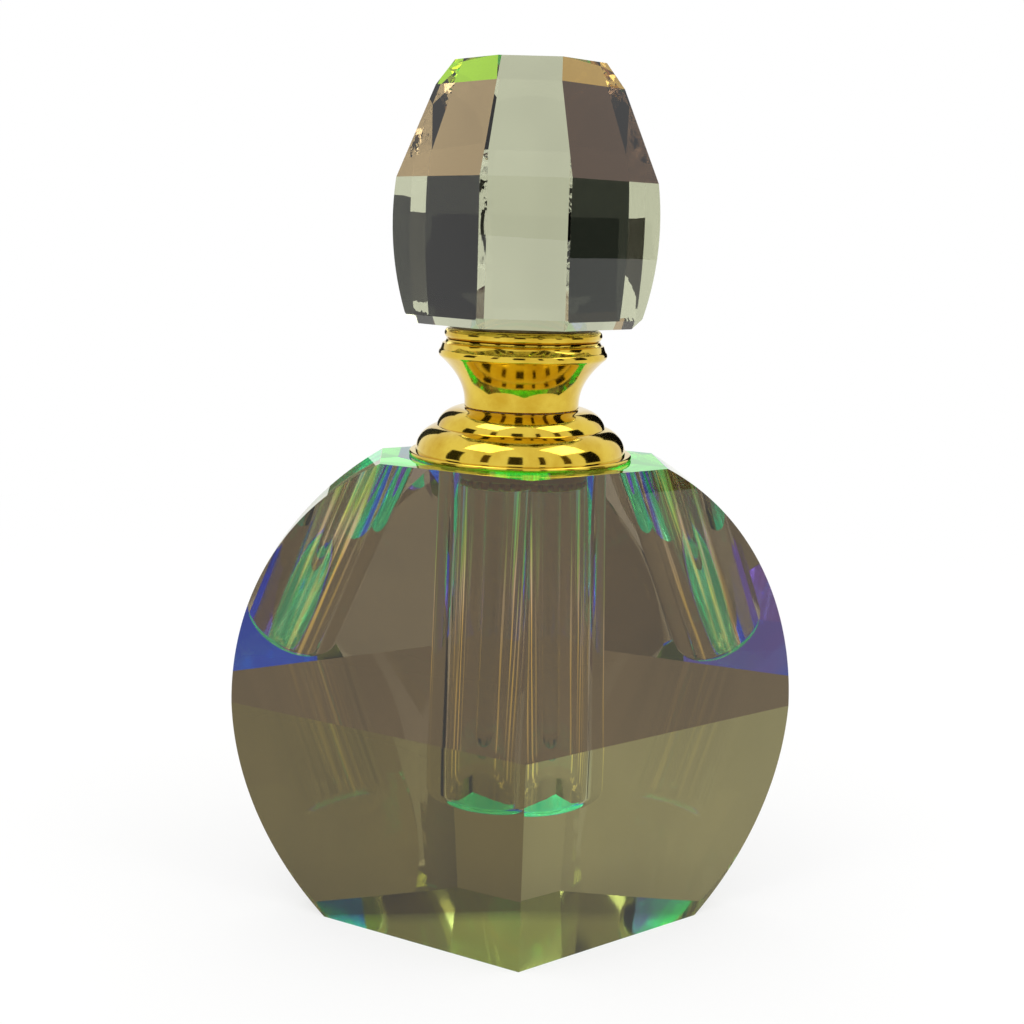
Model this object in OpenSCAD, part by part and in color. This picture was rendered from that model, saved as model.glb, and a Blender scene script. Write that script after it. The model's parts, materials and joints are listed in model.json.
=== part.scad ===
/* [Flask] */
// Radius of the round rim of the cut crystal flask
flask_radius = 30; // [24:0.5:36]
// Height of the rim's centre above the base
flask_centre = 22.5; // [19:0.1:25]
// Height of the flat top face that carries the neck
flask_height = 48.8; // [46:0.1:51]
// Depth of the front ridge from the bore's axis, on the base face
front_base = 18.2; // [16.5:0.1:19]
// Depth of the front ridge where its facets change slope
front_mid = 19.3; // [19:0.1:21]
// Depth of the front ridge on the top face
front_top = 15.9; // [14.5:0.1:17]
// Height at which the front facets change slope
front_ridge_height = 22; // [18:0.1:26]
// Depth of the front facets at the rim's widest point
front_rim = 1.3; // [0.6:0.1:1.8]
// Depth of the back ridge from the bore's axis, on the base face
back_base = 10.6; // [9.8:0.1:15]
// Depth of the back ridge where its facets change slope
back_mid = 19.3; // [19:0.1:21]
// Depth of the back ridge on the top face
back_top = 11.6; // [11:0.1:15]
// Height at which the back facets change slope
back_ridge_height = 24.5; // [20:0.1:28]
// Depth of the back facets at the rim's widest point
back_rim = 2.1; // [1.2:0.1:3]
// Radius of the drilled bore that holds the scent
bore_radius = 6.3; // [6.2:0.1:7]
// Height of the bore's floor above the base
bore_floor = 13; // [9:0.1:15]
// Rounding between the bore's floor and its wall
bore_corner = 1.2; // [0.6:0.1:2]

/* [Neck] */
// Radius of the collar's brim
brim_radius = 11.6; // [11.4:0.1:12.2]
// Thickness of the collar's brim
brim_height = 0.5; // [0.4:0.1:0.8]
// Radius of the collar's lower dome
lower_dome_radius = 10.95; // [10.6:0.05:11.2]
// Radius at which the lower dome's curve is centred
lower_dome_centre = 8; // [7.8:0.1:8.2]
// Rise of the lower dome's curve above the brim
lower_dome_rise = 2.75; // [2.6:0.05:2.9]
// Radius of the collar's upper dome
upper_dome_radius = 8.8; // [8.6:0.1:9]
// Height above the flask's top at which the upper dome's curve is centred
upper_dome_foot = 2.8; // [2.65:0.05:2.9]
// Height of the whole collar above the flask's top
collar_height = 5.05; // [4.95:0.05:5.4]
// Radius of the part of the sleeve that goes down into the bore
sleeve_radius = 6.15; // [6.05:0.05:6.15]
// Depth of the sleeve below the flask's top
sleeve_depth = 2.8; // [2:0.1:5]
// Radius of the sleeve's spout above the collar
spout_radius = 5; // [4.9:0.05:5.1]
// Height of the spout above the collar
spout_height = 1.85; // [1.2:0.05:2]
// Wall of the sleeve's spout
sleeve_wall = 0.75; // [0.6:0.05:0.9]
// Number of notches in the sleeve's lower edge
notch_count = 28; // [16:1:36]
// Width of one notch in the sleeve's lower edge
notch_width = 0.6; // [0.4:0.05:0.8]
// Height of one notch in the sleeve's lower edge
notch_height = 0.8; // [0.4:0.05:1.2]
// Wall of the soft liner inside the sleeve
liner_wall = 0.9; // [0.7:0.05:1]
// Thickness of the liner's lip over the spout
lip_height = 0.4; // [0.3:0.05:0.5]

/* [Stopper] */
// Radius of the stopper cup at its waist
waist_radius = 5.95; // [5.9:0.05:6.2]
// Radius of the stopper cup at its flare
flare_radius = 8.72; // [8.5:0.02:9.2]
// Height of the cup from its lower edge to the flare's widest point
flare_height = 5.55; // [5.2:0.05:6]
// Height of the whole cup
cup_height = 6.95; // [6.6:0.05:7.2]
// Wall of the cup at its lower edge
cup_wall = 0.8; // [0.6:0.05:0.8]
// Radius of the ringed seat plate under the knob
seat_radius = 8.15; // [7.9:0.05:8.5]
// Thickness of the seat plate
seat_height = 1.2; // [1:0.05:1.5]
// Thickness of the clear bonding pad between the seat plate and the knob
pad_height = 0.45; // [0.3:0.05:0.6]
// Thickness of the soft seal ring between the cup and the collar
seal_height = 0.4; // [0.3:0.05:0.5]
// Width of the seal ring's band
seal_width = 0.55; // [0.4:0.05:0.6]
// Length of the plug below its flange
plug_length = 6.5; // [4:0.5:8]
// Thickness of the plug's flange
plug_flange = 0.5; // [0.4:0.05:0.6]
// Length of the plug's root inside the cup
plug_root = 2.4; // [1.5:0.1:2.6]
// Radius of the plug's root
plug_root_radius = 2.9; // [2.6:0.1:3.4]
// Number of sealing ribs round the plug
rib_count = 3; // [2:1:4]
// Radius of the dabber rod
rod_radius = 1.6; // [1.4:0.1:1.8]
// Gap between the rod's round tip and the bore's floor
rod_tip_gap = 4; // [2:0.5:8]

/* [Knob] */
// Half width of the knob across its main facets
knob_half = 13.2; // [12.5:0.05:14.5]
// Half width of the knob across its corner facets
knob_corner_half = 12.35; // [11.8:0.05:13.5]
// Height of the knob
knob_height = 25.6; // [24.8:0.1:28]
// Height of the knob's widest level above its foot
knob_widest = 9.9; // [9:0.1:11.5]
// Height of the girdle, where the crown's flat facets start
knob_girdle = 14.25; // [13.5:0.05:15.5]
// Height at which the small top facets start
knob_tier = 23.2; // [22:0.1:24]
// Half width across the main facets at the small top facets' lower edge
tier_half = 9.25; // [8.8:0.05:9.8]
// Half width across the corner facets at the same level
tier_corner_half = 8.7; // [8.3:0.05:9.2]
// Half width across the flat top
table_half = 7.4; // [6.6:0.05:7.8]
// Curvature radius of the main facets below the girdle
barrel_radius = 30; // [26:0.5:40]
// Curvature radius of the corner facets below the girdle
corner_barrel_radius = 45; // [40:0.5:60]
// Bevel round the knob's foot
foot_bevel = 0.7; // [0.3:0.1:1]
// Turn of the knob's facets against the flask's facets
knob_turn = -5; // [-22:1:22]

/* [Fits] */
// Gap between parts that are glued or pressed together
bond_gap = 0.05; // [0.02:0.01:0.08]
// Gap between parts that slide or turn past each other
slide_gap = 0.1; // [0.08:0.01:0.15]

/* [Hidden] */
$fn = 96;

arc_steps = 12;
far = 4 * flask_radius;

sleeve_foot = flask_height - sleeve_depth;
liner_step = 0.5;
shoulder_z = flask_height + brim_height;
collar_top = flask_height + collar_height;
seal_seat = collar_top - seal_height + bond_gap;
seal_inner = spout_radius + slide_gap;
seal_outer = seal_inner + seal_width;
spout_top = collar_top + spout_height;
spout_bore = spout_radius - sleeve_wall;
liner_bore = spout_bore - bond_gap - liner_wall;
liner_foot = sleeve_foot + liner_step;
lip_top = spout_top + lip_height;

cup_foot = seal_seat + seal_height;
cup_top = cup_foot + cup_height;
cup_cavity_radius = waist_radius - cup_wall;
cavity_top = lip_top + slide_gap + plug_flange;
seat_top = cup_top + seat_height;
pad_top = seat_top + pad_height;
plug_radius = liner_bore - slide_gap;
rib_groove = 0.35;
rod_foot = bore_floor + rod_tip_gap;
rod_top_gap = 0.4;
rod_top = cavity_top + plug_root - rod_top_gap;

// Points on a quarter of an ellipse, from angle a0 to a1
function ellipse_arc(cr, cz, er, ez, a0, a1) = [
  for (i = [0 : arc_steps])
    let (a = a0 + (a1 - a0) * i / arc_steps)
      [cr + er * cos(a), cz + ez * sin(a)]
];

// Space outside one facet, whose surface meets the ridge where the facets change slope
module facet_cut(ridge, height, yaw, tilt) {
  translate([0, -ridge, height])
    rotate([0, 0, yaw])
      rotate([tilt, 0, 0])
        translate([-far / 2, -far, -far / 2])
          cube(far);
}

// Space outside the four facets of one side, an upper and a lower pair either side of its ridge
module side_cuts(base, mid, top, height, rim) {
  facet_yaw = atan((mid - rim) / flask_radius);
  upper_tilt = atan((mid - top) * cos(facet_yaw) / (flask_height - height));
  lower_tilt = atan((mid - base) * cos(facet_yaw) / height);
  for (yaw = [-facet_yaw, facet_yaw]) {
    facet_cut(mid, height, yaw, -upper_tilt);
    facet_cut(mid, height, yaw, lower_tilt);
  }
}

module flask_bore() {
  rotate_extrude()
    polygon(concat(
      [[0, bore_floor]],
      ellipse_arc(bore_radius - bore_corner, bore_floor + bore_corner, bore_corner, bore_corner, -90, 0),
      [[bore_radius, flask_height + 1], [0, flask_height + 1]]
    ));
}

module crystal_flask() {
  color([0.47, 0.44, 0.32, 0.55])
    difference() {
      intersection() {
        translate([0, 0, flask_centre])
          rotate([90, 0, 0])
            cylinder(r = flask_radius, h = 2 * (front_mid + back_mid), center = true, $fn = 180);
        translate([-far / 2, -far / 2, 0])
          cube([far, far, flask_height]);
      }
      side_cuts(front_base, front_mid, front_top, front_ridge_height, front_rim);
      mirror([0, 1, 0])
        side_cuts(back_base, back_mid, back_top, back_ridge_height, back_rim);
      flask_bore();
    }
}

module neck_collar() {
  hole = spout_radius + bond_gap;
  brim_bevel = 0.2;
  lower_run = lower_dome_radius - lower_dome_centre;
  lower_end_angle = 75;
  upper_z = flask_height + upper_dome_foot;
  upper_run = upper_dome_radius - waist_radius;
  upper_start_angle = 14;
  upper_end_angle = 78;
  upper_rise = (collar_height - upper_dome_foot) / sin(upper_end_angle);
  color([0.85, 0.68, 0.2])
    rotate_extrude()
      polygon(concat(
        [
          [sleeve_radius + bond_gap, flask_height],
          [brim_radius - brim_bevel, flask_height],
          [brim_radius, flask_height + brim_bevel],
          [brim_radius, shoulder_z - brim_bevel],
          [brim_radius - brim_bevel, shoulder_z]
        ],
        ellipse_arc(lower_dome_centre, shoulder_z, lower_run, lower_dome_rise, 0, lower_end_angle),
        ellipse_arc(waist_radius, upper_z, upper_run, upper_rise, upper_start_angle, upper_end_angle),
        [
          [seal_outer + bond_gap, collar_top],
          [seal_outer + bond_gap, seal_seat],
          [hole, seal_seat],
          [hole, shoulder_z + bond_gap],
          [sleeve_radius + bond_gap, shoulder_z + bond_gap]
        ]
      ));
}

module neck_sleeve() {
  notch_depth = 0.5;
  color([0.8, 0.6, 0.16])
    difference() {
      union() {
        translate([0, 0, sleeve_foot])
          cylinder(r = sleeve_radius, h = shoulder_z - sleeve_foot);
        translate([0, 0, shoulder_z])
          cylinder(r = spout_radius, h = spout_top - shoulder_z);
      }
      translate([0, 0, sleeve_foot - 1])
        cylinder(r = spout_bore, h = spout_top - sleeve_foot + 2);
      for (i = [0 : notch_count - 1])
        rotate([0, 0, i * 360 / notch_count])
          translate([sleeve_radius - notch_depth, -notch_width / 2, sleeve_foot - 1])
            cube([2 * notch_depth, notch_width, 1 + notch_height]);
    }
}

module neck_liner() {
  lip_inset = 0.2;
  lip_bevel = 0.3;
  color([0.92, 0.92, 0.88])
    difference() {
      union() {
        translate([0, 0, liner_foot])
          cylinder(r = spout_bore - bond_gap, h = spout_top - liner_foot + lip_height / 2);
        translate([0, 0, spout_top])
          cylinder(r = spout_radius - lip_inset, h = lip_height);
      }
      translate([0, 0, liner_foot - 1])
        cylinder(r = liner_bore, h = lip_top - liner_foot + 2);
      translate([0, 0, lip_top - lip_bevel])
        cylinder(r1 = liner_bore, r2 = liner_bore + 2 * lip_bevel, h = 2 * lip_bevel);
    }
}

module seal_ring() {
  color([0.86, 0.86, 0.82])
    translate([0, 0, seal_seat])
      difference() {
        cylinder(r = seal_outer, h = seal_height);
        translate([0, 0, -1])
          cylinder(r = seal_inner, h = seal_height + 2);
      }
}

module stopper_cup() {
  foot_round = 0.1;
  waist_band = 0.4;
  trumpet_power = 2.1;
  bead_run = 0.4;
  bead_rise = 0.5;
  bead_start_angle = -40;
  bead_end_angle = 60;
  throat_run = 0.75;
  throat_rise = 0.45;
  trumpet_run = flare_radius - bead_run * (1 - cos(bead_start_angle)) - waist_radius;
  trumpet_rise = flare_height + bead_rise * sin(bead_start_angle) - waist_band;
  color([0.85, 0.66, 0.16])
    translate([0, 0, cup_foot])
      difference() {
        rotate_extrude()
          polygon(concat(
            [[0, 0], [waist_radius - foot_round, 0], [waist_radius, foot_round]],
            [
              for (i = [0 : arc_steps - 1])
                let (t = i / arc_steps)
                  [waist_radius + trumpet_run * pow(t, trumpet_power), waist_band + trumpet_rise * t]
            ],
            ellipse_arc(flare_radius - bead_run, flare_height, bead_run, bead_rise,
              bead_start_angle, bead_end_angle),
            ellipse_arc(seat_radius + throat_run - 2 * foot_round, cup_height, throat_run, throat_rise,
              -120, -180),
            [[0, cup_height]]
          ));
        translate([0, 0, -1])
          cylinder(r = cup_cavity_radius, h = 1 + cavity_top - cup_foot);
        translate([0, 0, cavity_top - cup_foot - 1])
          cylinder(r = plug_root_radius + bond_gap, h = 1 + plug_root + bond_gap);
      }
}

module knob_seat() {
  bead = seat_height / 2;
  color([0.82, 0.62, 0.15])
    translate([0, 0, cup_top])
      rotate_extrude()
        polygon(concat(
          [[0, 0]],
          ellipse_arc(seat_radius - bead, bead, bead, bead, -90, 90),
          [[0, seat_height]]
        ));
}

module knob_pad() {
  pad_inset = 0.55;
  color([0.35, 0.3, 0.2])
    translate([0, 0, seat_top])
      cylinder(r = seat_radius - pad_inset, h = pad_height);
}

// Upright section across one pair of opposite knob facets
module knob_section(half, barrel, tier, table) {
  girdle_half = half - barrel + sqrt(pow(barrel, 2) - pow(knob_girdle - knob_widest, 2));
  foot_half = half - barrel + sqrt(pow(barrel, 2) - pow(knob_widest, 2)) - foot_bevel;
  crown_slope = (girdle_half - tier) / (knob_tier - knob_girdle);
  edge = half + 1;
  side = [
    [foot_half, 0],
    [edge, edge - foot_half],
    [edge, knob_girdle - (edge - girdle_half) / crown_slope],
    [tier, knob_tier],
    [table, knob_height]
  ];
  intersection() {
    intersection_for (flip = [0, 1])
      mirror([flip, 0])
        translate([half - barrel, knob_widest])
          circle(r = barrel, $fn = 360);
    polygon(concat(side, [for (i = [4 : -1 : 0]) [-side[i][0], side[i][1]]]));
  }
}

module knob_slab(turn, half, barrel, tier) {
  rotate([0, 0, turn])
    rotate([90, 0, 0])
      linear_extrude(height = 4 * knob_half, center = true)
        knob_section(half, barrel, tier, table_half);
}

module crystal_knob() {
  color([0.66, 0.7, 0.56, 0.6])
    translate([0, 0, pad_top])
      rotate([0, 0, knob_turn])
        intersection() {
          knob_slab(0, knob_half, barrel_radius, tier_half);
          knob_slab(90, knob_half, barrel_radius, tier_half);
          knob_slab(45, knob_corner_half, corner_barrel_radius, tier_corner_half);
          knob_slab(135, knob_corner_half, corner_barrel_radius, tier_corner_half);
        }
}

module stopper_plug() {
  lead_in = 1;
  flange_inset = 0.3;
  flange_z = cavity_top - plug_flange;
  plug_foot = flange_z - plug_length;
  stem_radius = plug_radius - rib_groove;
  rib_pitch = (plug_length - lead_in) / rib_count;
  color([0.9, 0.9, 0.86])
    difference() {
      union() {
        translate([0, 0, plug_foot])
          cylinder(r1 = stem_radius - rib_groove / 2, r2 = stem_radius, h = lead_in);
        translate([0, 0, plug_foot + lead_in])
          cylinder(r = stem_radius, h = plug_length - lead_in);
        for (i = [0 : rib_count - 1])
          translate([0, 0, plug_foot + lead_in + i * rib_pitch])
            cylinder(r = plug_radius, h = rib_pitch / 2);
        translate([0, 0, flange_z])
          cylinder(r = spout_radius - flange_inset, h = plug_flange);
        translate([0, 0, cavity_top])
          cylinder(r = plug_root_radius, h = plug_root);
      }
      translate([0, 0, plug_foot - 1])
        cylinder(r = rod_radius + bond_gap, h = 1 + rod_top - plug_foot + bond_gap);
    }
}

module dabber_rod() {
  color([0.82, 0.85, 0.78])
    union() {
      translate([0, 0, rod_foot + rod_radius])
        sphere(r = rod_radius);
      translate([0, 0, rod_foot + rod_radius])
        cylinder(r = rod_radius, h = rod_top - rod_foot - rod_radius);
    }
}

crystal_flask();
neck_collar();
neck_sleeve();
neck_liner();
seal_ring();
stopper_cup();
knob_seat();
knob_pad();
crystal_knob();
stopper_plug();
dabber_rod();
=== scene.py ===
"""Cut crystal scent flask: the looks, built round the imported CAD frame."""
import json
import math

import bmesh
import bpy
from mathutils import Matrix, Vector

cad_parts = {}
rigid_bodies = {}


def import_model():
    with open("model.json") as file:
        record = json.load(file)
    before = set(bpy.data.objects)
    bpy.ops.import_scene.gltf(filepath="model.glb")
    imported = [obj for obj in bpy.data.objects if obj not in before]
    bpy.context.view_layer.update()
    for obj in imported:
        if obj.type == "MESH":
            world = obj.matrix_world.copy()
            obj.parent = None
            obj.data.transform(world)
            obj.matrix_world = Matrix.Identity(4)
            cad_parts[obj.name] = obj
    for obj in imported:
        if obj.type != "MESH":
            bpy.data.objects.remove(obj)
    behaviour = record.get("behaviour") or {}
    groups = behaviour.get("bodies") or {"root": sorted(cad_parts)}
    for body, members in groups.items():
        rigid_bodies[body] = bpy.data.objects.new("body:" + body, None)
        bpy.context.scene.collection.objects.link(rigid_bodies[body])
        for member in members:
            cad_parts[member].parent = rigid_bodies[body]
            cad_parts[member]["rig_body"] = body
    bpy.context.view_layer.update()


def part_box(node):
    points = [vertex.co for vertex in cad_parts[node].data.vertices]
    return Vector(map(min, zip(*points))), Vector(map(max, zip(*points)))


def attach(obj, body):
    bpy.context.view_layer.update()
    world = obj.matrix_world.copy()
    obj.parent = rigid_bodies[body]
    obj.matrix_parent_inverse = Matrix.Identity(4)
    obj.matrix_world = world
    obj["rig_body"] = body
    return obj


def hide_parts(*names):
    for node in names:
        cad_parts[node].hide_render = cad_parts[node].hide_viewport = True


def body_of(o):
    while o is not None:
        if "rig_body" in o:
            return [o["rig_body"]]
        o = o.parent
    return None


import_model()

# Units: every length below is in millimetres, and MM turns it into metres
MM = 0.001


def frame_z(node, end):
    """Height in millimetres of a CAD node's foot (0) or top (1)."""
    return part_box(node)[end].z / MM


def frame_radius(node):
    """Half width in millimetres of a CAD node across X."""
    low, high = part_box(node)
    return (high.x - low.x) / 2 / MM


# Sizes of the flask, as in the CAD source
FLASK_R = frame_radius("crystal_flask")
FLASK_CENTRE = 22.5
FLASK_TOP = frame_z("crystal_flask", 1)
FRONT = {"side": -1, "base": 18.2, "mid": 19.3, "top": 15.9, "height": 22.0, "rim": 1.3}
BACK = {"side": 1, "base": 10.6, "mid": 19.3, "top": 11.6, "height": 24.5, "rim": 2.1}
BORE_R = 6.3
BORE_FLOOR = 13.0
BORE_CORNER = 1.2
RIM_SEGMENTS = 360
ARRIS = 0.14

# Sizes of the neck and the stopper, as in the CAD source
SEGMENTS = 192
ARC_STEPS = 14
WAIST_R = 5.95
SPOUT_R = 5.0
UPPER_DOME_FOOT = 2.8
BOND_GAP = 0.05
SLIDE_GAP = 0.1


def clear_default_scene():
    """Removes the default cube, lamp and camera, and keeps the frame."""
    for name in ("Cube", "Light", "Camera"):
        found = bpy.data.objects.get(name)
        if found is not None and not body_of(found):
            bpy.data.objects.remove(found)


def link_mesh(name, bm):
    """Turns a bmesh in millimetres into an object in metres."""
    bmesh.ops.scale(bm, vec=(MM, MM, MM), verts=bm.verts)
    bmesh.ops.recalc_face_normals(bm, faces=bm.faces)
    mesh = bpy.data.meshes.new(name)
    bm.to_mesh(mesh)
    bm.free()
    piece = bpy.data.objects.new(name, mesh)
    bpy.context.scene.collection.objects.link(piece)
    return piece


def plane_cut(bm, point, normal):
    """Cuts away what lies outside a plane, and closes the cut with one face."""
    everything = bm.verts[:] + bm.edges[:] + bm.faces[:]
    cut = bmesh.ops.bisect_plane(bm, geom=everything, plane_co=point, plane_no=normal, clear_outer=True)
    edges = [e for e in cut["geom_cut"] if isinstance(e, bmesh.types.BMEdge)]
    if edges:
        bmesh.ops.edgeloop_fill(bm, edges=edges)


def soften_edges(bm, width, least_angle):
    """Grinds a narrow flat on each edge that is sharper than an angle in degrees."""
    sharp = [
        e for e in bm.edges
        if len(e.link_faces) == 2 and e.calc_face_angle(0) > math.radians(least_angle)
    ]
    bmesh.ops.bevel(bm, geom=sharp, offset=width, segments=1, affect="EDGES", clamp_overlap=True)


def arc(centre_r, centre_z, radius_r, radius_z, start, end, steps=ARC_STEPS):
    """Points (radius, height) along part of an ellipse, angles in degrees."""
    points = []
    for i in range(steps + 1):
        angle = math.radians(start + (end - start) * i / steps)
        points.append((centre_r + radius_r * math.cos(angle), centre_z + radius_z * math.sin(angle)))
    return points


def lathe_bmesh(profile, segments=SEGMENTS, closed=False):
    """A surface of revolution about Z from points (radius, height)."""
    bm = bmesh.new()
    rings = []
    for radius, height in profile:
        if radius < 1e-6:
            rings.append([bm.verts.new((0, 0, height))])
            continue
        ring = []
        for i in range(segments):
            angle = 2 * math.pi * i / segments
            ring.append(bm.verts.new((radius * math.cos(angle), radius * math.sin(angle), height)))
        rings.append(ring)
    pairs = list(zip(rings, rings[1:]))
    if closed:
        pairs.append((rings[-1], rings[0]))
    for low, high in pairs:
        for i in range(segments):
            j = (i + 1) % segments
            if len(low) == 1 and len(high) == 1:
                continue
            if len(low) == 1:
                bm.faces.new((low[0], high[i], high[j]))
            elif len(high) == 1:
                bm.faces.new((low[i], low[j], high[0]))
            else:
                bm.faces.new((low[i], low[j], high[j], high[i]))
    return bm


def smooth(piece, sharp_angle):
    """Shades a piece smooth, apart from edges sharper than an angle in degrees."""
    for polygon in piece.data.polygons:
        polygon.use_smooth = True
    piece.data.set_sharp_from_angle(angle=math.radians(sharp_angle))


def turned(name, profile, closed=False, segments=SEGMENTS):
    piece = link_mesh(name, lathe_bmesh(profile, segments, closed))
    smooth(piece, 32)
    return piece


def apply_modifiers(piece):
    graph = bpy.context.evaluated_depsgraph_get()
    mesh = bpy.data.meshes.new_from_object(piece.evaluated_get(graph))
    piece.modifiers.clear()
    piece.data = mesh


def subtract(piece, cutter):
    modifier = piece.modifiers.new("cut", "BOOLEAN")
    modifier.object = cutter
    modifier.solver = "EXACT"
    modifier.operation = "DIFFERENCE"
    bpy.context.view_layer.update()
    apply_modifiers(piece)
    bpy.data.objects.remove(cutter)


# Flask
def cut_side(bm, side):
    """Cuts the four facets of one side: an upper and a lower pair beside its ridge."""
    sign = side["side"]
    yaw = math.atan((side["mid"] - side["rim"]) / FLASK_R)
    upper = math.atan((side["mid"] - side["top"]) * math.cos(yaw) / (FLASK_TOP - side["height"]))
    lower = -math.atan((side["mid"] - side["base"]) * math.cos(yaw) / side["height"])
    for hand in (-1, 1):
        for tilt in (upper, lower):
            normal = Vector((
                hand * math.sin(yaw) * math.cos(tilt),
                sign * math.cos(yaw) * math.cos(tilt),
                math.sin(tilt),
            ))
            plane_cut(bm, (0, sign * side["mid"], side["height"]), normal)


FLASK_SLOTS = ("back", "rim", "front_upper", "front_left", "front_right", "bore", "base", "top")


def flask_piece():
    bm = bmesh.new()
    depth = 2 * (FRONT["mid"] + BACK["mid"])
    lie_down = Matrix.Translation((0, 0, FLASK_CENTRE)) @ Matrix.Rotation(math.pi / 2, 4, "X")
    bmesh.ops.create_cone(
        bm, cap_ends=True, segments=RIM_SEGMENTS, radius1=FLASK_R, radius2=FLASK_R, depth=depth,
        matrix=lie_down,
    )
    plane_cut(bm, (0, 0, 0), (0, 0, -1))
    plane_cut(bm, (0, 0, FLASK_TOP), (0, 0, 1))
    cut_side(bm, FRONT)
    cut_side(bm, BACK)
    soften_edges(bm, ARRIS, 5)
    flask = link_mesh("flask_crystal_body", bm)
    wall = [(0, BORE_FLOOR)]
    wall += arc(BORE_R - BORE_CORNER, BORE_FLOOR + BORE_CORNER, BORE_CORNER, BORE_CORNER, -90, 0)
    wall += [(BORE_R, FLASK_TOP - 0.2), (BORE_R + 0.4, FLASK_TOP + 0.2), (BORE_R + 0.4, FLASK_TOP + 2)]
    wall += [(0, FLASK_TOP + 2)]
    subtract(flask, link_mesh("bore_cutter", lathe_bmesh(wall, 256)))
    return flask


def paint_flask(flask, finishes):
    """Gives the flask's faces their slots, in the order of FLASK_SLOTS."""
    mesh = flask.data
    mesh.materials.clear()
    for name in FLASK_SLOTS:
        mesh.materials.append(finishes[name])
    mesh.set_sharp_from_angle(angle=math.radians(28))
    for polygon in mesh.polygons:
        polygon.use_smooth = False
        centre, normal = polygon.center / MM, polygon.normal
        from_axis = math.hypot(centre.x, centre.y)
        in_bore = from_axis < BORE_R + 0.42 and BORE_FLOOR - 0.01 < centre.z < FLASK_TOP + 0.01
        on_rim = abs(math.hypot(centre.x, centre.z - FLASK_CENTRE) - FLASK_R) < 0.05 and abs(normal.y) < 1e-3
        if in_bore and abs(normal.z) < 0.999 or (in_bore and centre.z < BORE_FLOOR + 0.1):
            slot = "bore"
            polygon.use_smooth = True
        elif normal.z < -0.999:
            slot = "base"
        elif normal.z > 0.999:
            slot = "top"
        elif on_rim:
            slot = "rim"
            polygon.use_smooth = True
        elif normal.y > 0:
            slot = "back"
        elif centre.z > FRONT["height"]:
            slot = "front_upper"
        else:
            slot = "front_left" if centre.x < 0 else "front_right"
        polygon.material_index = FLASK_SLOTS.index(slot)


# Knob
KNOB_FOOT = frame_z("crystal_knob", 0)
KNOB_TOP = frame_z("crystal_knob", 1)
KNOB_HALF = 13.2
KNOB_CORNER_HALF = 12.35
KNOB_WIDEST = 9.9
KNOB_GIRDLE = 14.25
KNOB_TIER = 23.2
TIER_HALF = 9.25
TIER_CORNER_HALF = 8.7
TABLE_HALF = 7.4
BARREL_R = 30.0
CORNER_BARREL_R = 45.0
FOOT_BEVEL = 0.7
KNOB_TURN = -5.0
BARREL_STRIPS = 20


def knob_face_cuts(bm, turn, half, barrel, tier):
    """Cuts one side of the knob: its barrel, crown, top facet and foot bevel."""
    out = Vector((math.sin(math.radians(turn)), -math.cos(math.radians(turn)), 0))
    up = Vector((0, 0, 1))

    def cut(reach, height, lean):
        normal = out * math.cos(lean) + up * math.sin(lean)
        plane_cut(bm, out * reach + up * height, normal)

    def reach_at(height):
        return half - barrel + math.sqrt(barrel ** 2 - (height - KNOB_WIDEST) ** 2)

    for i in range(BARREL_STRIPS):
        height = KNOB_GIRDLE * (i + 0.5) / BARREL_STRIPS
        cut(reach_at(height), height, math.asin((height - KNOB_WIDEST) / barrel))
    girdle = reach_at(KNOB_GIRDLE)
    knob_height = KNOB_TOP - KNOB_FOOT
    cut(tier, KNOB_TIER, math.atan2(girdle - tier, KNOB_TIER - KNOB_GIRDLE))
    cut(tier, KNOB_TIER, math.atan2(tier - TABLE_HALF, knob_height - KNOB_TIER))
    cut(reach_at(0) - FOOT_BEVEL, 0, -math.pi / 4)


def knob_piece():
    bm = bmesh.new()
    height = KNOB_TOP - KNOB_FOOT
    bmesh.ops.create_cube(bm, size=1)
    bmesh.ops.scale(bm, vec=(4 * KNOB_HALF, 4 * KNOB_HALF, height), verts=bm.verts)
    bmesh.ops.translate(bm, vec=(0, 0, height / 2), verts=bm.verts)
    for quarter in range(4):
        knob_face_cuts(bm, 90 * quarter, KNOB_HALF, BARREL_R, TIER_HALF)
        knob_face_cuts(bm, 90 * quarter + 45, KNOB_CORNER_HALF, CORNER_BARREL_R, TIER_CORNER_HALF)
    soften_edges(bm, 0.1, 5)
    place = Matrix.Translation((0, 0, KNOB_FOOT)) @ Matrix.Rotation(math.radians(KNOB_TURN), 4, "Z")
    bmesh.ops.transform(bm, matrix=place, verts=bm.verts)
    knob = link_mesh("knob_crystal_body", bm)
    smooth(knob, 4)
    return knob


def paint_knob(knob, finishes):
    """Gives the front crown facets their own tints as painted light and shade: tan and dark brown below the tier,
    lime and orange above it, left and right, in the order of the knob's tint table.
    """
    mesh = knob.data
    mesh.materials.clear()
    for finish in finishes:
        mesh.materials.append(finish)
    names = list(KNOB_TINTS_AND_PAINTED_LIGHT)
    for polygon in mesh.polygons:
        centre = polygon.center / MM
        height = centre.z - KNOB_FOOT
        azimuth = math.degrees(math.atan2(centre.x, -centre.y)) - KNOB_TURN
        name = "knob_clear"
        if KNOB_GIRDLE < height < KNOB_TIER and 22 < abs(azimuth) < 68:
            name = "knob_painted_tan" if azimuth < 0 else "knob_painted_brown_shade"
        if height > KNOB_TIER and polygon.normal.z < 0.95 and 22 < abs(azimuth) < 68:
            name = "knob_painted_lime_light" if azimuth < 0 else "knob_painted_orange_light"
        polygon.material_index = names.index(name)


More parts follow.
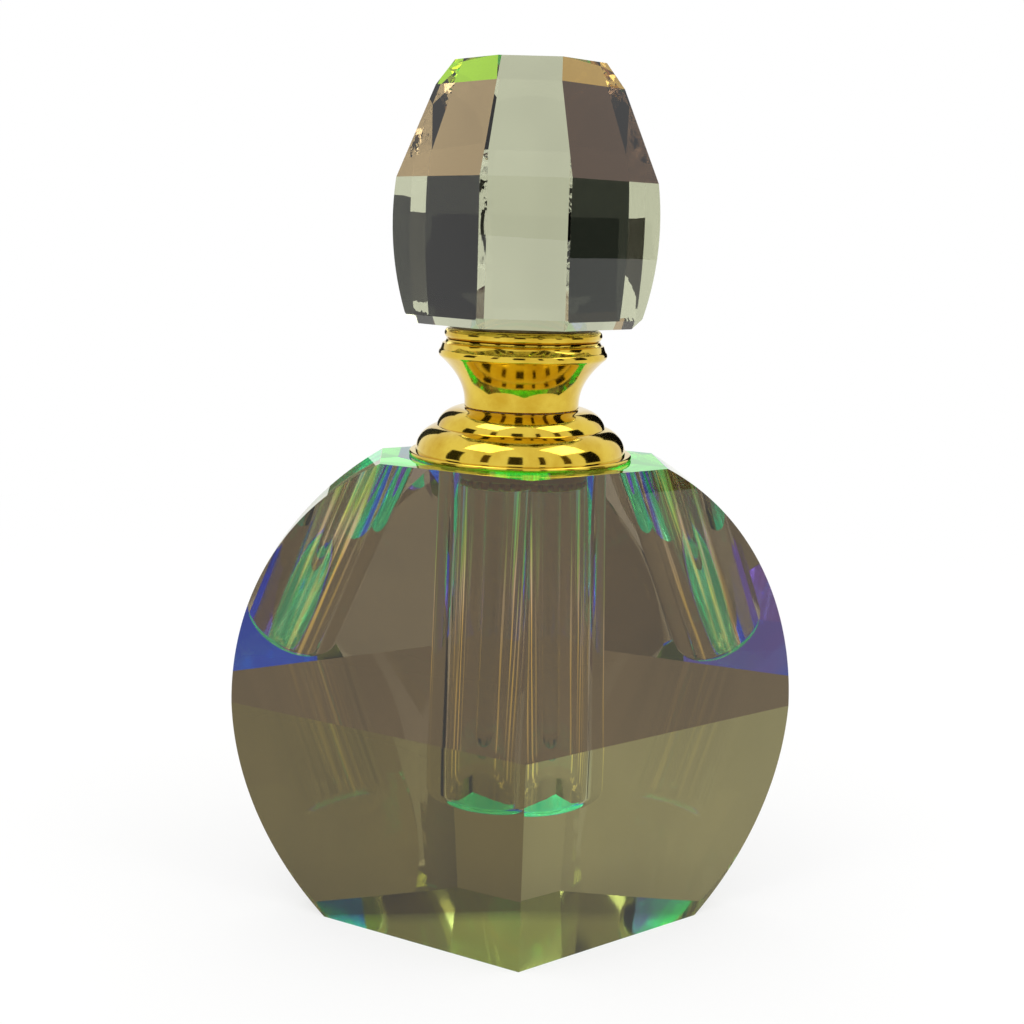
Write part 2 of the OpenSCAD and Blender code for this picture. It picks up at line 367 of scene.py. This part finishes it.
# Neck
def collar_piece():
    collar_top = frame_z("neck_collar", 1)
    brim_r = frame_radius("neck_collar")
    sleeve_r = frame_radius("neck_sleeve")
    brim_top = FLASK_TOP + 0.5
    seal_seat = frame_z("seal_ring", 0)
    seal_r = frame_radius("seal_ring") + BOND_GAP
    profile = [(sleeve_r + BOND_GAP, FLASK_TOP)]
    profile += arc(brim_r - 0.2, FLASK_TOP + 0.2, 0.2, 0.2, -90, 0, 4)
    profile += arc(brim_r - 0.2, brim_top - 0.2, 0.2, 0.2, 0, 90, 4)
    profile += arc(8, brim_top, 10.95 - 8, 2.75, 0, 75, 20)
    upper_run = 8.8 - WAIST_R
    upper_rise = (collar_top - FLASK_TOP - UPPER_DOME_FOOT) / math.sin(math.radians(78))
    profile += arc(WAIST_R, FLASK_TOP + UPPER_DOME_FOOT, upper_run, upper_rise, 14, 78, 20)
    profile += [
        (seal_r + 0.12, collar_top), (seal_r, collar_top - 0.1), (seal_r, seal_seat),
        (SPOUT_R + BOND_GAP, seal_seat), (SPOUT_R + BOND_GAP, brim_top + BOND_GAP),
        (sleeve_r + BOND_GAP, brim_top + BOND_GAP),
    ]
    return turned("collar_domes", profile, closed=True)


def sleeve_piece():
    foot = frame_z("neck_sleeve", 0)
    top = frame_z("neck_sleeve", 1)
    sleeve_r = frame_radius("neck_sleeve")
    shoulder = FLASK_TOP + 0.5
    inner = SPOUT_R - 0.75
    profile = [
        (inner, foot), (sleeve_r - 0.55, foot), (sleeve_r - 0.5, foot + 0.06),
        (sleeve_r - 0.5, foot + 0.8), (sleeve_r - 0.1, foot + 0.86), (sleeve_r, foot + 0.96),
        (sleeve_r, shoulder - 0.1), (sleeve_r - 0.1, shoulder), (SPOUT_R + 0.05, shoulder),
        (SPOUT_R, shoulder + 0.05), (SPOUT_R, top - 0.15), (SPOUT_R - 0.15, top), (inner + 0.1, top),
        (inner, top - 0.1),
    ]
    return turned("sleeve_barrel", profile, closed=True)


def sleeve_beads():
    """Rounded teeth round the sleeve's lower edge, between its notches."""
    foot = frame_z("neck_sleeve", 0)
    sleeve_r = frame_radius("neck_sleeve")
    count = 28
    bm = bmesh.new()
    for i in range(count):
        angle = 2 * math.pi * (i + 0.5) / count
        tooth = bmesh.ops.create_uvsphere(bm, u_segments=12, v_segments=8, radius=0.5)
        stretch = Matrix.Diagonal((0.5 / 0.5, 0.37 / 0.5, 0.45 / 0.5, 1))
        place = Matrix.Rotation(angle, 4, "Z") @ Matrix.Translation((sleeve_r - 0.52, 0, foot + 0.46))
        bmesh.ops.transform(bm, matrix=place @ stretch, verts=tooth["verts"])
    piece = link_mesh("sleeve_teeth", bm)
    smooth(piece, 60)
    return piece


def liner_piece():
    foot = frame_z("neck_liner", 0)
    top = frame_z("neck_liner", 1)
    outer = SPOUT_R - 0.75 - BOND_GAP
    bore = outer - 0.9
    spout_top = frame_z("neck_sleeve", 1)
    profile = [(bore, foot + 0.1), (bore + 0.1, foot), (outer - 0.1, foot), (outer, foot + 0.1)]
    profile += [(outer, spout_top), (SPOUT_R - 0.25, spout_top)]
    profile += arc(SPOUT_R - 0.4, top - 0.2, 0.2, 0.2, 0, 90, 5)
    profile += [(bore + 0.3, top), (bore, top - 0.3)]
    return turned("liner_body", profile, closed=True)


def seal_piece():
    foot = frame_z("seal_ring", 0)
    top = frame_z("seal_ring", 1)
    outer = frame_radius("seal_ring")
    inner = SPOUT_R + SLIDE_GAP
    edge = 0.1
    profile = [(inner, foot + edge), (inner + edge, foot), (outer - edge, foot), (outer, foot + edge)]
    profile += [(outer, top - edge), (outer - edge, top), (inner + edge, top), (inner, top - edge)]
    return turned("seal_washer", profile, closed=True)


# Stopper
def cup_piece():
    foot = frame_z("stopper_cup", 0)
    top = frame_z("stopper_cup", 1)
    flare_r = frame_radius("stopper_cup")
    seat_r = frame_radius("knob_seat")
    cavity_r = WAIST_R - 0.8
    cavity_top = frame_z("stopper_plug", 1) - 2.4
    flare_z = foot + 5.55
    bead_run, bead_rise = 0.4, 0.5
    start = math.radians(-40)
    run = flare_r - bead_run * (1 - math.cos(start)) - WAIST_R
    rise = flare_z + bead_rise * math.sin(start) - foot - 0.4
    profile = [(cavity_r, foot + 0.15), (cavity_r + 0.15, foot), (WAIST_R - 0.1, foot), (WAIST_R, foot + 0.1)]
    profile += [
        (WAIST_R + run * (i / 24) ** 2.1, foot + 0.4 + rise * i / 24) for i in range(24)
    ]
    profile += arc(flare_r - bead_run, flare_z, bead_run, bead_rise, -40, 60, 12)
    profile += arc(seat_r + 0.55, top, 0.75, 0.45, -120, -180, 8)
    plug_root = 2.9 + BOND_GAP
    profile += [(0, top), (0, cavity_top + 2.45), (plug_root, cavity_top + 2.45), (plug_root, cavity_top)]
    profile += [(cavity_r, cavity_top)]
    return turned("cup_trumpet", profile, closed=True)


def seat_piece():
    foot = frame_z("knob_seat", 0)
    top = frame_z("knob_seat", 1)
    outer = frame_radius("knob_seat")
    bead = (top - foot) / 2
    profile = [(0, foot)] + arc(outer - bead, foot + bead, bead, bead, -90, 90, 24) + [(0, top)]
    return turned("seat_bead", profile)


def pad_piece():
    foot = frame_z("knob_pad", 0)
    top = frame_z("knob_pad", 1)
    outer = frame_radius("knob_pad")
    middle = (foot + top) / 2
    profile = [(0, foot), (outer, foot), (outer - 0.12, middle), (outer, top), (0, top)]
    return turned("pad_film", profile)


def plug_piece():
    top = frame_z("stopper_plug", 1)
    cavity_top = top - 2.4
    flange_z = cavity_top - 0.5
    foot = frame_z("stopper_plug", 0)
    bore = 1.6 + BOND_GAP
    liner_bore = SPOUT_R - 0.75 - BOND_GAP - 0.9
    rib_r = liner_bore - SLIDE_GAP
    stem_r = rib_r - 0.35
    pitch = (flange_z - foot - 1) / 3
    rod_hole_top = top - 0.35
    profile = [(bore, foot + 0.1), (bore + 0.1, foot), (stem_r - 0.18, foot), (stem_r, foot + 1)]
    for i in range(3):
        base = foot + 1 + i * pitch
        profile += [(stem_r, base + 0.02)]
        profile += arc(stem_r, base + pitch / 4, rib_r - stem_r, pitch / 4 - 0.03, -88, 88, 8)
        profile += [(stem_r, base + pitch / 2 - 0.02)]
    profile += [(stem_r, flange_z), (SPOUT_R - 0.3, flange_z), (SPOUT_R - 0.3, cavity_top), (2.9, cavity_top)]
    profile += [(2.9, top - 0.1), (2.8, top), (0, top), (0, rod_hole_top), (bore, rod_hole_top)]
    return turned("plug_body", profile, closed=True)


def rod_piece():
    foot = frame_z("dabber_rod", 0)
    top = frame_z("dabber_rod", 1)
    radius = frame_radius("dabber_rod")
    profile = arc(0, foot + radius, radius, radius, -90, 0, 16)
    profile[0] = (0, foot)
    profile += [(radius, foot + radius + (top - foot - radius) * i / 8) for i in range(1, 9)]
    profile += [(0, top)]
    return turned("rod_round_tip", profile, segments=96)


# Materials
def material(name):
    found = bpy.data.materials.new(name)
    found.use_nodes = True
    return found, found.node_tree, found.node_tree.nodes["Principled BSDF"]


def object_point(tree, scale):
    """Object coordinates, scaled, for textures that stay on the piece."""
    coordinates = tree.nodes.new("ShaderNodeTexCoord")
    mapping = tree.nodes.new("ShaderNodeMapping")
    mapping.inputs["Scale"].default_value = scale
    tree.links.new(coordinates.outputs["Object"], mapping.inputs["Vector"])
    return mapping.outputs["Vector"]


def noise(tree, vector, scale, detail=3.0, roughness=0.5):
    texture = tree.nodes.new("ShaderNodeTexNoise")
    texture.inputs["Scale"].default_value = scale
    texture.inputs["Detail"].default_value = detail
    texture.inputs["Roughness"].default_value = roughness
    tree.links.new(vector, texture.inputs["Vector"])
    return texture.outputs["Fac"]


def ramp(tree, factor, stops, interpolation="LINEAR"):
    """A colour ramp with stops (position, colour)."""
    node = tree.nodes.new("ShaderNodeValToRGB")
    node.color_ramp.interpolation = interpolation
    elements = node.color_ramp.elements
    while len(elements) < len(stops):
        elements.new(0.5)
    for element, (position, colour) in zip(elements, stops):
        element.position = position
        element.color = (*colour, 1)
    tree.links.new(factor, node.inputs["Fac"])
    return node.outputs["Color"]


def spread(tree, factor, low, high):
    """Maps a 0 to 1 factor to a range."""
    node = tree.nodes.new("ShaderNodeMapRange")
    node.inputs["To Min"].default_value = low
    node.inputs["To Max"].default_value = high
    tree.links.new(factor, node.inputs["Value"])
    return node.outputs["Result"]


def bump(tree, shader, height, strength, distance):
    node = tree.nodes.new("ShaderNodeBump")
    node.inputs["Strength"].default_value = strength
    node.inputs["Distance"].default_value = distance
    tree.links.new(height, node.inputs["Height"])
    tree.links.new(node.outputs["Normal"], shader.inputs["Normal"])


CRYSTAL_IOR = 1.5
FOOT_FADE_HEIGHT = 6.8
FOOT_FADE_HALF = 20.5


def axis_share(tree, axis, low, high, absolute=False):
    """0 to 1 between two positions in millimetres along an object axis."""
    coordinates = tree.nodes.new("ShaderNodeTexCoord")
    split = tree.nodes.new("ShaderNodeSeparateXYZ")
    tree.links.new(coordinates.outputs["Object"], split.inputs["Vector"])
    position = split.outputs[axis]
    if absolute:
        size = tree.nodes.new("ShaderNodeMath")
        size.operation = "ABSOLUTE"
        tree.links.new(position, size.inputs[0])
        position = size.outputs[0]
    node = tree.nodes.new("ShaderNodeMapRange")
    node.inputs["From Min"].default_value = low * MM
    node.inputs["From Max"].default_value = high * MM
    tree.links.new(position, node.inputs["Value"])
    return node.outputs["Result"]


def combined(tree, operation, first, second):
    """One number from two, each a socket or a plain number."""
    node = tree.nodes.new("ShaderNodeMath")
    node.operation = operation
    for socket, value in zip(node.inputs, (first, second)):
        if isinstance(value, float):
            socket.default_value = value
        else:
            tree.links.new(value, socket)
    return node.outputs[0]


def mixed(tree, factor, first, second, blend="MIX"):
    node = tree.nodes.new("ShaderNodeMix")
    node.data_type = "RGBA"
    node.blend_type = blend
    if isinstance(factor, float):
        node.inputs["Factor"].default_value = factor
    else:
        tree.links.new(factor, node.inputs["Factor"])
    for socket, value in ((node.inputs[6], first), (node.inputs[7], second)):
        if isinstance(value, tuple):
            socket.default_value = (*value, 1)
        else:
            tree.links.new(value, socket)
    return node.outputs[2]


def crystal(name, tint, foot_tint=None, drift=0.12, scale=(120, 120, 60)):
    """Cut crystal whose tint drifts a little, and fades to another tint at its foot; the tints it is given carry the
    smoke colour and, on some faces, painted light and shade.
    """
    found, tree, shader = material(name)
    shader.inputs["Transmission Weight"].default_value = 1
    shader.inputs["IOR"].default_value = CRYSTAL_IOR
    shader.inputs["Roughness"].default_value = 0
    cloud = noise(tree, object_point(tree, scale), 0.6, 2)
    low, high = (tuple(c * k for c in tint) for k in (1 - drift, 1 + drift))
    colour = ramp(tree, cloud, [(0.35, low), (0.65, high)])
    if foot_tint is not None:
        above = combined(tree, "ADD", axis_share(tree, "Z", 0, FOOT_FADE_HEIGHT),
                         axis_share(tree, "X", 0, FOOT_FADE_HALF, absolute=True))
        edge = tree.nodes.new("ShaderNodeMapRange")
        edge.inputs["From Min"].default_value = 0.8
        tree.links.new(above, edge.inputs["Value"])
        colour = mixed(tree, edge.outputs["Result"], foot_tint, colour)
    tree.links.new(colour, shader.inputs["Base Color"])
    return found


def bore_wall():
    """The drilled wall: polished, with upright marks, and upright streaks beside the axis and towards the back that
    glow in colour as painted reflections.
    """
    found, tree, shader = material("bore_wall")
    shader.inputs["Transmission Weight"].default_value = 1
    shader.inputs["IOR"].default_value = CRYSTAL_IOR
    shader.inputs["Roughness"].default_value = 0.0
    shader.inputs["Base Color"].default_value = (0.96, 0.95, 0.93, 1)
    upright = noise(tree, object_point(tree, (900, 900, 12)), 1.0, 2)
    bump(tree, shader, upright, 0.25, 0.00004)
    # Painted reflections: upright streaks beside the axis, stronger towards the back, glow yellow low down, through
    # white and green, to blue high up
    painted_streak = noise(tree, object_point(tree, (1300, 1300, 35)), 1.0, 2)
    lit = tree.nodes.new("ShaderNodeMapRange")
    lit.inputs["From Min"].default_value = 0.52
    lit.inputs["From Max"].default_value = 0.66
    tree.links.new(painted_streak, lit.inputs["Value"])
    beside = axis_share(tree, "X", 3.2, 4.6, absolute=True)
    behind = axis_share(tree, "Y", -1.5, 1.0)
    glow = combined(tree, "MULTIPLY", combined(tree, "MULTIPLY", lit.outputs[0], beside), behind)
    hue = noise(tree, object_point(tree, (700, 700, 60)), 1.0, 2)
    height = axis_share(tree, "Z", BORE_FLOOR, FLASK_TOP)
    shifted = combined(tree, "ADD", height, spread(tree, hue, -0.35, 0.35))
    colours = [
        (0.05, (0.50, 0.42, 0.12)), (0.32, (1.0, 0.80, 0.10)), (0.52, (0.95, 0.90, 0.70)),
        (0.66, (0.45, 0.95, 0.10)), (0.82, (0.02, 0.75, 0.25)), (1.0, (0.03, 0.25, 0.95)),
    ]
    tree.links.new(ramp(tree, shifted, colours), shader.inputs["Emission Color"])
    tree.links.new(combined(tree, "MULTIPLY", glow, BORE_PAINTED_REFLECTION_GLOW), shader.inputs["Emission Strength"])
    return found


# Strength of the glowing streaks on the bore wall, which are painted reflections
BORE_PAINTED_REFLECTION_GLOW = 1.5
# Strength of the base coat's glow, which is painted reflection
COAT_PAINTED_REFLECTION_GLOW = 1.6


def coat():
    """The interference coat under the base: its colour turns with the angle of the light, and it glows green, blue
    and violet as painted reflections.
    """
    found, tree, shader = material("base_coat")
    shader.inputs["Metallic"].default_value = 1
    shader.inputs["Roughness"].default_value = 0.06
    weight = tree.nodes.new("ShaderNodeLayerWeight")
    cloud = noise(tree, object_point(tree, (70, 70, 70)), 1.3, 3)
    angle = combined(tree, "ADD", weight.outputs["Facing"], spread(tree, cloud, -0.08, 0.08))
    colours = [
        (0.05, (0.30, 0.95, 0.75)), (0.26, (0.03, 0.85, 0.62)), (0.36, (0.04, 0.25, 1.0)),
        (0.48, (0.10, 0.06, 0.95)), (0.58, (0.30, 0.60, 0.12)), (0.72, (0.40, 0.47, 0.05)),
        (0.95, (0.70, 0.80, 0.20)),
    ]
    tree.links.new(ramp(tree, angle, colours), shader.inputs["Base Color"])
    # Painted reflections: the coat glows green when seen face on, then blue on the right half and violet on the left
    # half at more slanted views, and not at all near grazing
    painted_blue_reflection = ramp(tree, angle, [
        (0.0, (0.05, 0.55, 0.26)), (0.28, (0.04, 0.66, 0.36)), (0.34, (0.01, 0.14, 1.0)),
        (0.48, (0.02, 0.04, 0.9)), (0.55, (0.0, 0.0, 0.0)),
    ])
    painted_violet_reflection = ramp(tree, angle, [
        (0.0, (0.05, 0.55, 0.26)), (0.28, (0.04, 0.66, 0.36)), (0.34, (0.10, 0.12, 0.7)),
        (0.48, (0.22, 0.12, 0.6)), (0.55, (0.0, 0.0, 0.0)),
    ])
    painted_reflection = mixed(tree, axis_share(tree, "X", -2.0, 2.0), painted_violet_reflection, painted_blue_reflection)
    tree.links.new(painted_reflection, shader.inputs["Emission Color"])
    shader.inputs["Emission Strength"].default_value = COAT_PAINTED_REFLECTION_GLOW
    return found


def gold(name, colour, dark, roughness):
    found, tree, shader = material(name)
    shader.inputs["Metallic"].default_value = 1
    cloud = noise(tree, object_point(tree, (300, 300, 300)), 1.0, 4, 0.6)
    tree.links.new(ramp(tree, cloud, [(0.3, dark), (0.62, colour)]), shader.inputs["Base Color"])
    tree.links.new(spread(tree, cloud, roughness, roughness * 1.8), shader.inputs["Roughness"])
    turning = noise(tree, object_point(tree, (60, 60, 4000)), 1.0, 3)
    bump(tree, shader, turning, 0.12, 0.00002)
    return found


def plastic(name, colour, roughness):
    found, tree, shader = material(name)
    shader.inputs["Roughness"].default_value = roughness
    shader.inputs["Subsurface Weight"].default_value = 0.35
    shader.inputs["Subsurface Radius"].default_value = (0.002, 0.002, 0.0016)
    cloud = noise(tree, object_point(tree, (500, 500, 500)), 1.0, 3)
    lighter = tuple(min(1, c * 1.06) for c in colour)
    tree.links.new(ramp(tree, cloud, [(0.3, colour), (0.7, lighter)]), shader.inputs["Base Color"])
    grain = noise(tree, object_point(tree, (4000, 4000, 4000)), 1.0, 2)
    bump(tree, shader, grain, 0.15, 0.00002)
    return found


def rod_glass():
    found, tree, shader = material("rod_clear_glass")
    shader.inputs["Transmission Weight"].default_value = 1
    shader.inputs["IOR"].default_value = 1.49
    shader.inputs["Roughness"].default_value = 0.02
    cloud = noise(tree, object_point(tree, (300, 300, 80)), 1.0, 2)
    tree.links.new(ramp(tree, cloud, [(0.3, (0.9, 0.92, 0.88)), (0.7, (0.97, 0.98, 0.95))]),
                   shader.inputs["Base Color"])
    return found


def bond_film():
    found, tree, shader = material("bond_film")
    shader.inputs["Roughness"].default_value = 0.25
    cloud = noise(tree, object_point(tree, (700, 700, 700)), 1.0, 3)
    tree.links.new(ramp(tree, cloud, [(0.3, (0.05, 0.035, 0.012)), (0.7, (0.16, 0.11, 0.04))]),
                   shader.inputs["Base Color"])
    return found


# Stage
def floor_material():
    """White to the camera, mirrors and glass, with the object's own soft shadow."""
    found = bpy.data.materials.new("pale_floor")
    found.use_nodes = True
    tree = found.node_tree
    tree.nodes.clear()
    output = tree.nodes.new("ShaderNodeOutputMaterial")
    diffuse = tree.nodes.new("ShaderNodeBsdfDiffuse")
    diffuse.inputs["Color"].default_value = (0.82, 0.82, 0.81, 1)
    glow = tree.nodes.new("ShaderNodeEmission")
    glow.inputs["Strength"].default_value = 1
    path = tree.nodes.new("ShaderNodeLightPath")
    seen = tree.nodes.new("ShaderNodeMath")
    seen.operation = "ADD"
    also = tree.nodes.new("ShaderNodeMath")
    also.operation = "ADD"
    also.use_clamp = True
    tree.links.new(path.outputs["Is Camera Ray"], seen.inputs[0])
    tree.links.new(path.outputs["Is Glossy Ray"], seen.inputs[1])
    tree.links.new(seen.outputs[0], also.inputs[0])
    tree.links.new(path.outputs["Is Transmission Ray"], also.inputs[1])
    share = tree.nodes.new("ShaderNodeMath")
    share.operation = "MULTIPLY"
    tree.links.new(also.outputs[0], share.inputs[0])
    away = tree.nodes.new("ShaderNodeVectorMath")
    away.operation = "LENGTH"
    place_on_floor = tree.nodes.new("ShaderNodeTexCoord")
    tree.links.new(place_on_floor.outputs["Object"], away.inputs[0])
    fade = tree.nodes.new("ShaderNodeMapRange")
    fade.inputs["From Min"].default_value = FLOOR_FADE[0] * MM
    fade.inputs["From Max"].default_value = FLOOR_FADE[1] * MM
    fade.inputs["To Min"].default_value = FLOOR_GLOW
    fade.inputs["To Max"].default_value = 1
    tree.links.new(away.outputs["Value"], fade.inputs["Value"])
    tree.links.new(fade.outputs["Result"], share.inputs[1])
    mix = tree.nodes.new("ShaderNodeMixShader")
    tree.links.new(share.outputs[0], mix.inputs["Fac"])
    tree.links.new(diffuse.outputs[0], mix.inputs[1])
    tree.links.new(glow.outputs[0], mix.inputs[2])
    tree.links.new(mix.outputs[0], output.inputs["Surface"])
    return found


FLOOR_GLOW = 0.7
FLOOR_FADE = (60.0, 260.0)
FLOOR_SIZE = 3.0


def build_floor():
    bm = bmesh.new()
    bmesh.ops.create_grid(bm, x_segments=1, y_segments=1, size=FLOOR_SIZE / MM)
    floor = link_mesh("floor", bm)
    floor.location.z = -0.00002
    floor.data.materials.append(floor_material())


def build_world():
    world = bpy.data.worlds.new("studio")
    bpy.context.scene.world = world
    world.use_nodes = True
    background = world.node_tree.nodes["Background"]
    background.inputs["Color"].default_value = (1, 1, 1, 1)
    background.inputs["Strength"].default_value = 1.0


def lamp(name, location, size, power, colour=(1, 1, 1)):
    data = bpy.data.lights.new(name, "AREA")
    data.shape = "RECTANGLE"
    data.size, data.size_y = size
    data.energy = power
    data.color = colour
    found = bpy.data.objects.new(name, data)
    found.location = location
    aim = Vector((0, 0, 0.05)) - Vector(location)
    found.rotation_euler = aim.to_track_quat("-Z", "Y").to_euler()
    bpy.context.scene.collection.objects.link(found)
    return found


def flag(name, azimuth, width, low, high, distance, colour):
    """A dark card beside the object, seen only in gloss and glass."""
    bm = bmesh.new()
    half = width / 2
    corners = [(-half, low), (half, low), (half, high), (-half, high)]
    bm.faces.new([bm.verts.new((x, 0, z)) for x, z in corners])
    card = link_mesh(name, bm)
    angle = math.radians(azimuth)
    card.location = (math.sin(angle) * distance * MM, -math.cos(angle) * distance * MM, 0)
    card.rotation_euler.z = angle
    card.visible_camera = False
    card.visible_diffuse = False
    card.visible_shadow = False
    card.data.materials.append(card_material(name + "_card", colour))
    return card


def card_material(name, colour):
    found = bpy.data.materials.new(name)
    found.use_nodes = True
    tree = found.node_tree
    tree.nodes.clear()
    output = tree.nodes.new("ShaderNodeOutputMaterial")
    glow = tree.nodes.new("ShaderNodeEmission")
    glow.inputs["Color"].default_value = (*colour, 1)
    tree.links.new(glow.outputs[0], output.inputs["Surface"])
    return found


# Camera
VIEW_AZIMUTH = -3.93
VIEW_ELEVATION = 10.88
VIEW_ROLL = 1.62
VIEW_DISTANCE = 150.0
VIEW_TARGET = (-0.67, 0.0, 42.75)
FOCAL_PIXELS = 1421.2
IMAGE_PIXELS = 1024
SENSOR = 36.0


def build_camera():
    azimuth, elevation = math.radians(VIEW_AZIMUTH), math.radians(VIEW_ELEVATION)
    back = Vector((
        math.sin(azimuth) * math.cos(elevation),
        -math.cos(azimuth) * math.cos(elevation),
        math.sin(elevation),
    ))
    data = bpy.data.cameras.new("photo_view")
    data.sensor_width = SENSOR
    data.lens = FOCAL_PIXELS * SENSOR / IMAGE_PIXELS
    data.clip_start = 0.01
    camera = bpy.data.objects.new("photo_view", data)
    camera.location = (Vector(VIEW_TARGET) + back * VIEW_DISTANCE) * MM
    camera.rotation_mode = "QUATERNION"
    roll = Matrix.Rotation(math.radians(VIEW_ROLL), 3, "Z").to_quaternion()
    camera.rotation_quaternion = (-back).to_track_quat("-Z", "Y") @ roll
    bpy.context.scene.collection.objects.link(camera)
    bpy.context.scene.camera = camera


def place(piece, node, body, slot, finish=None):
    """Sets a piece in for its CAD node, on its body."""
    if finish is not None:
        piece.data.materials.clear()
        piece.data.materials.append(finish)
    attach(piece, body)
    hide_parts(node)


# Tints of the flask's face groups: the crystal's smoky colour, with painted light and shade set per group, lighter
# at the right front, darker at the left and upper front, green on the top and pale on the rim
SMOKE_AND_PAINTED_SHADE = {
    "back": (0.155, 0.125, 0.036), "rim": (0.50, 0.54, 0.36), "front_upper": (0.070, 0.040, 0.022),
    "front_left": (0.080, 0.058, 0.014), "front_right": (0.24, 0.23, 0.10), "top": (0.22, 0.34, 0.01),
}
CLEAR_FOOT = (0.80, 0.90, 0.50)
# The knob's own clear tint, and tints for the front crown facets that are painted light and shade: lime and orange
# painted highlights, tan and near-black painted shade
KNOB_TINTS_AND_PAINTED_LIGHT = {
    "knob_clear": (0.50, 0.52, 0.36), "knob_painted_tan": (0.24, 0.12, 0.04), "knob_painted_brown_shade": (0.010, 0.003, 0.001),
    "knob_painted_lime_light": (0.24, 0.78, 0.001), "knob_painted_orange_light": (0.34, 0.13, 0.01),
}


def build_object():
    flask = flask_piece()
    finishes = {
        name: crystal("smoke_and_painted_shade_" + name, tint, CLEAR_FOOT if name.startswith("front") else None)
        for name, tint in SMOKE_AND_PAINTED_SHADE.items()
    }
    finishes["bore"] = bore_wall()
    finishes["base"] = coat()
    paint_flask(flask, finishes)
    place(flask, "crystal_flask", "flask", "flask_crystal")
    gilt = gold("gilt", (0.74, 0.54, 0.07), (0.58, 0.37, 0.03), 0.06)
    gilt_inner = gold("gilt_inner", (0.98, 0.80, 0.30), (0.90, 0.62, 0.16), 0.3)
    place(collar_piece(), "neck_collar", "flask", "gilt", gilt)
    place(sleeve_piece(), "neck_sleeve", "flask", "gilt_inner", gilt_inner)
    place(sleeve_beads(), "neck_sleeve", "flask", "gilt_inner", gilt_inner)
    place(liner_piece(), "neck_liner", "flask", "liner_plastic", plastic("liner_plastic", (0.80, 0.80, 0.74), 0.3))
    place(seal_piece(), "seal_ring", "seal", "seal_rubber", plastic("seal_soft", (0.72, 0.72, 0.66), 0.4))
    place(cup_piece(), "stopper_cup", "stopper", "gilt", gilt)
    place(seat_piece(), "knob_seat", "stopper", "gilt", gilt)
    place(pad_piece(), "knob_pad", "stopper", "bond", bond_film())
    knob = knob_piece()
    paint_knob(knob, [crystal(name, tint) for name, tint in KNOB_TINTS_AND_PAINTED_LIGHT.items()])
    place(knob, "crystal_knob", "stopper", "knob_crystal")
    place(plug_piece(), "stopper_plug", "stopper", "plug_plastic", plastic("plug_plastic", (0.78, 0.78, 0.72), 0.32))
    place(rod_piece(), "dabber_rod", "stopper", "rod_glass", rod_glass())


CARDS = (
    ("card_middle", -9, 90, 50, 260, 320, (0.04, 0.035, 0.03)),
    ("card_middle_right", 20, 36, 60, 260, 320, (0.05, 0.035, 0.02)),
    ("card_left", -42, 50, 62, 260, 320, (0.10, 0.07, 0.03)),
    ("card_right", 48, 50, 62, 260, 320, (0.10, 0.07, 0.03)),
    ("card_side_left", -80, 80, 40, 190, 240, (0.03, 0.03, 0.025)),
    ("card_side_right", 80, 90, 45, 210, 240, (0.01, 0.01, 0.01)),
    ("card_back_right", 151, 90, 36, 190, 240, (0.005, 0.005, 0.005)),
    ("card_back_left", -160, 64, 36, 190, 240, (0.03, 0.035, 0.035)),
)


def build_stage():
    build_floor()
    build_world()
    lamp("softbox_left", (-0.25, -0.13, 0.53), (0.3, 0.3), 0.8)
    lamp("softbox_right", (0.31, -0.14, 0.50), (0.3, 0.3), 0.7)
    for name, azimuth, width, low, high, distance, colour in CARDS:
        flag(name, azimuth, width, low, high, distance, colour)


def render_settings():
    scene = bpy.context.scene
    scene.view_settings.view_transform = "Standard"
    scene.cycles.max_bounces = 40
    scene.cycles.transmission_bounces = 40
    scene.cycles.glossy_bounces = 40
    scene.cycles.transparent_max_bounces = 16


clear_default_scene()
build_object()
build_stage()
build_camera()
render_settings()
